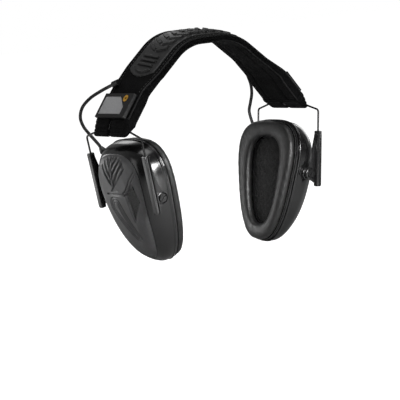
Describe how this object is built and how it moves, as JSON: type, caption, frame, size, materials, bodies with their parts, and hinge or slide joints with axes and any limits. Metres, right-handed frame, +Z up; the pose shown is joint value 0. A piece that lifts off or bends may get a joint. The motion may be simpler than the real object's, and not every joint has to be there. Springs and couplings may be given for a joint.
{
  "type": "earmuff hearing protector",
  "caption": "Electronic earmuff hearing protector: oval ear cups on sliding, folding wire yokes under a padded fabric headband.",
  "frame": {"origin": "midway between the two cup pivots, on the middle plane between the ears", "axes": "+X from the wearer's right ear to the left ear, the wearer faces -Y, +Z up"},
  "size_m": [0.1888, 0.0958, 0.1888],
  "materials": {
    "black_fabric": "woven padded fabric",
    "dark_foam": "open-cell foam",
    "black_steel": "black coated steel wire",
    "spring_steel": "brushed",
    "black_plastic": "semi-gloss",
    "black_rubber": "matte",
    "grey_patch": "grey looped fabric",
    "amber_brass": "amber tinted",
    "black_leatherette": "soft matte",
    "circuit_board": "solder mask",
    "battery_wrap": "printed sleeve, plain"
  },
  "bodies": {
    "battery_door": {"battery_door": "black_rubber"},
    "headband": {"headband_overlay": "black_rubber", "headband_pad": "dark_foam", "headband_sleeve": "black_fabric", "left_hinge_block": "black_plastic", "left_hinge_cap": "black_plastic", "left_lead": "black_rubber", "left_lead_grommet": "black_rubber", "left_patch_eyelet": "amber_brass", "left_patch_face": "grey_patch", "left_patch_frame": "black_rubber", "right_hinge_block": "black_plastic", "right_hinge_cap": "black_plastic", "right_lead": "black_rubber", "right_lead_grommet": "black_rubber", "right_patch_eyelet": "amber_brass", "right_patch_face": "grey_patch", "right_patch_frame": "black_rubber", "spring_band": "spring_steel"},
    "left_cup": {"left_battery_1": "battery_wrap", "left_battery_2": "battery_wrap", "left_battery_tray": "black_plastic", "left_cup_cover": "black_rubber", "left_cup_shell": "black_plastic", "left_cushion_plate": "black_plastic", "left_ear_cushion": "black_leatherette", "left_front_pivot_screw": "black_steel", "left_lead_boot": "black_rubber", "left_mic_grille": "dark_foam", "left_microphone": "black_plastic", "left_rear_pivot_screw": "black_steel", "left_sound_foam": "dark_foam", "left_speaker": "black_plastic"},
    "left_slider": {"left_front_slider_arm": "black_plastic", "left_rear_slider_arm": "black_plastic"},
    "left_yoke": {"left_yoke_wire": "black_steel"},
    "right_cup": {"right_circuit_board": "circuit_board", "right_cup_cover": "black_rubber", "right_cup_shell": "black_plastic", "right_cushion_plate": "black_plastic", "right_ear_cushion": "black_leatherette", "right_front_pivot_screw": "black_steel", "right_lead_boot": "black_rubber", "right_mic_grille": "dark_foam", "right_microphone": "black_plastic", "right_rear_pivot_screw": "black_steel", "right_sound_foam": "dark_foam", "right_speaker": "black_plastic"},
    "right_slider": {"right_front_slider_arm": "black_plastic", "right_rear_slider_arm": "black_plastic"},
    "right_yoke": {"right_yoke_wire": "black_steel"},
    "volume_dial": {"volume_dial": "black_rubber"}
  },
  "joints": [
    {"name": "right_fold", "type": "hinge", "parent": "headband", "child": "right_yoke", "pos_m": [-0.08789, 0, 0.05664], "axis": [0, 1, 0], "range_deg": [-52, 0], "deforming": ["right_lead"]},
    {"name": "right_slide", "type": "slide", "parent": "right_yoke", "child": "right_slider", "axis": [0.1305, 0, -0.9914], "range_m": [-0.006, 0.02], "deforming": ["right_lead"]},
    {"name": "right_tilt", "type": "hinge", "parent": "right_slider", "child": "right_cup", "pos_m": [-0.0751, 0, 0.0019], "axis": [0, -1, 0], "range_deg": [-12, 8], "deforming": ["right_lead"]},
    {"name": "left_fold", "type": "hinge", "parent": "headband", "child": "left_yoke", "pos_m": [0.08789, 0, 0.05664], "axis": [0, 1, 0], "range_deg": [0, 52], "deforming": ["left_lead"]},
    {"name": "left_slide", "type": "slide", "parent": "left_yoke", "child": "left_slider", "axis": [-0.1305, 0, -0.9914], "range_m": [-0.0095, 0.0165], "deforming": ["left_lead"]},
    {"name": "left_tilt", "type": "hinge", "parent": "left_slider", "child": "left_cup", "pos_m": [0.07464, 0, -0.00157], "axis": [0, 1, 0], "range_deg": [-12, 8], "deforming": ["left_lead"]},
    {"name": "volume_turn", "type": "hinge", "parent": "right_cup", "child": "volume_dial", "pos_m": [-0.06271, 0.027, -0.03459], "axis": [0.1016, 0.8829, -0.4583], "range_deg": [0, 270]},
    {"name": "battery_door_open", "type": "hinge", "parent": "left_cup", "child": "battery_door", "pos_m": [0.08285, 0, -0.02644], "axis": [0, 1, 0], "range_deg": [0, 100]}
  ]
}
